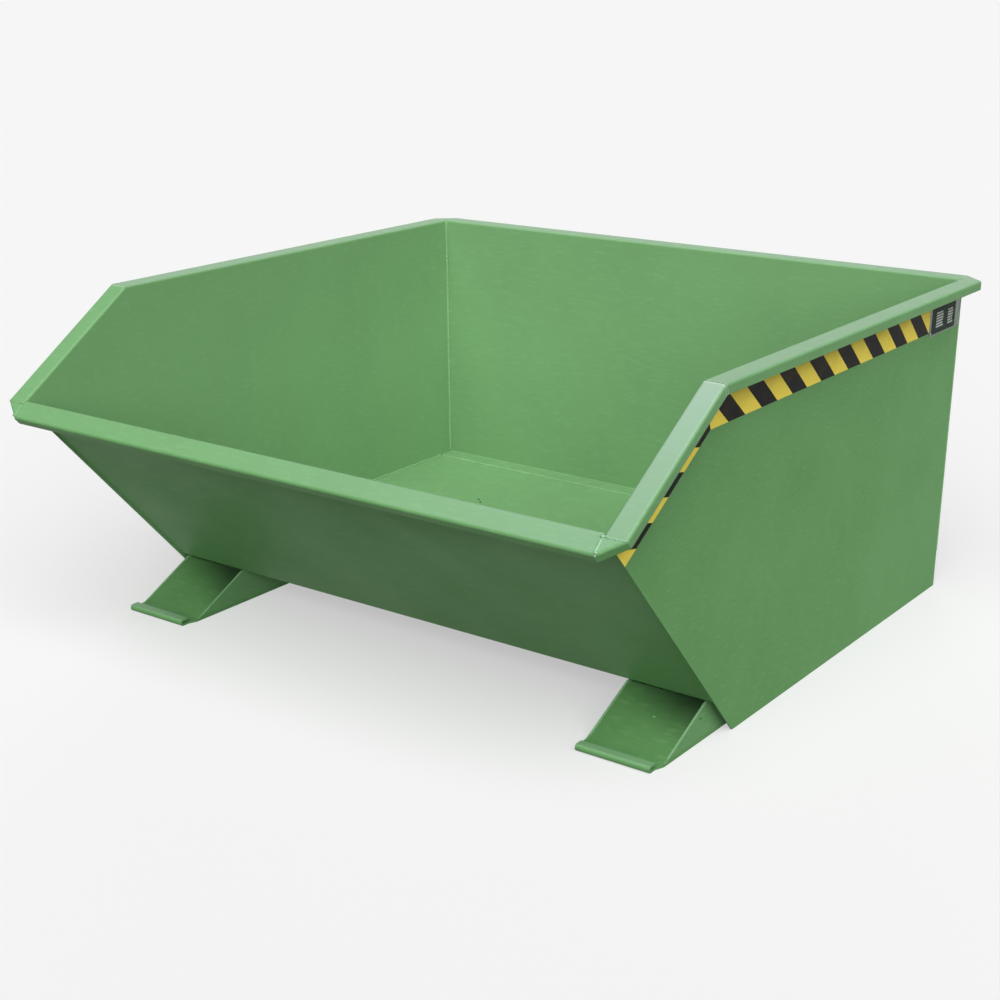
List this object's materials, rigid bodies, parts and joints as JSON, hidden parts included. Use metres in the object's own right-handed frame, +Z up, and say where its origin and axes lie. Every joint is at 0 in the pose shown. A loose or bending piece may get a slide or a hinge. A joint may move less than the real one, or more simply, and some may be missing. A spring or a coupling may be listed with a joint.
{
  "type": "tipping hopper",
  "caption": "Sheet-steel tipping hopper with a folded rim and a sloping front on a fork-pocket base; the bucket tips forward on front hinges and a rear hook locks it.",
  "frame": {"origin": "on the ground, under the middle of the object's box", "axes": "+X across the width, towards the side with the data plate; +Y from the open front to the rear wall; +Z up. The bucket tips towards -Y."},
  "size_m": [1.2708, 1.2396, 0.598],
  "materials": {
    "bucket_paint": "semi-gloss",
    "base_paint": "semi-gloss",
    "zinc_steel": "zinc plated",
    "rubber_pad": "matte",
    "grip_plastic": "matte",
    "hazard_tape": "striped film",
    "data_plate": "printed film"
  },
  "bodies": {
    "base": {"foot_plate_left": "base_paint", "foot_plate_right": "base_paint", "front_cross_tube": "base_paint", "hinge_knuckles_left": "base_paint", "hinge_knuckles_right": "base_paint", "hinge_pin_left": "zinc_steel", "hinge_pin_right": "zinc_steel", "inner_cheek_left": "base_paint", "inner_cheek_right": "base_paint", "latch_bolt": "zinc_steel", "latch_bolt_washer": "zinc_steel", "latch_bracket": "base_paint", "latch_nut": "zinc_steel", "latch_spacer": "zinc_steel", "latch_stop_peg": "base_paint", "outer_cheek_left": "base_paint", "outer_cheek_right": "base_paint", "pocket_top_left": "base_paint", "pocket_top_right": "base_paint", "ramp_plate_left": "base_paint", "ramp_plate_right": "base_paint", "rear_cross_tube": "base_paint", "rear_strap_left": "base_paint", "rear_strap_right": "base_paint", "rest_pad_left": "rubber_pad", "rest_pad_right": "rubber_pad"},
    "bucket": {"trough_sheet": "bucket_paint", "rear_wall": "bucket_paint", "left_side_panel": "bucket_paint", "right_side_panel": "bucket_paint", "front_rim_corner_left": "bucket_paint", "front_rim_corner_right": "bucket_paint", "rear_rim_corner_left": "bucket_paint", "rear_rim_corner_right": "bucket_paint", "hazard_tape_left_top": "hazard_tape", "hazard_tape_left_slope": "hazard_tape", "hazard_tape_right_top": "hazard_tape", "hazard_tape_right_slope": "hazard_tape", "data_plate": "data_plate", "data_plate_rivets": "zinc_steel", "hinge_lug_left": "bucket_paint", "hinge_lug_right": "bucket_paint", "catch_plate": "bucket_paint", "catch_pin": "bucket_paint", "floor_stiffener_rear": "bucket_paint", "floor_stiffener_front": "bucket_paint"},
    "latch": {"latch_hook": "base_paint", "latch_grip": "grip_plastic"}
  },
  "joints": [
    {"name": "tip", "type": "hinge", "parent": "base", "child": "bucket", "pos_m": [0, -0.26798, 0.042], "axis": [1, 0, 0], "range_deg": [0, 50]},
    {"name": "latch_swing", "type": "hinge", "parent": "base", "child": "latch", "pos_m": [0, 0.58873, 0.032], "axis": [0, -1, 0], "range_deg": [0, 90]}
  ]
}
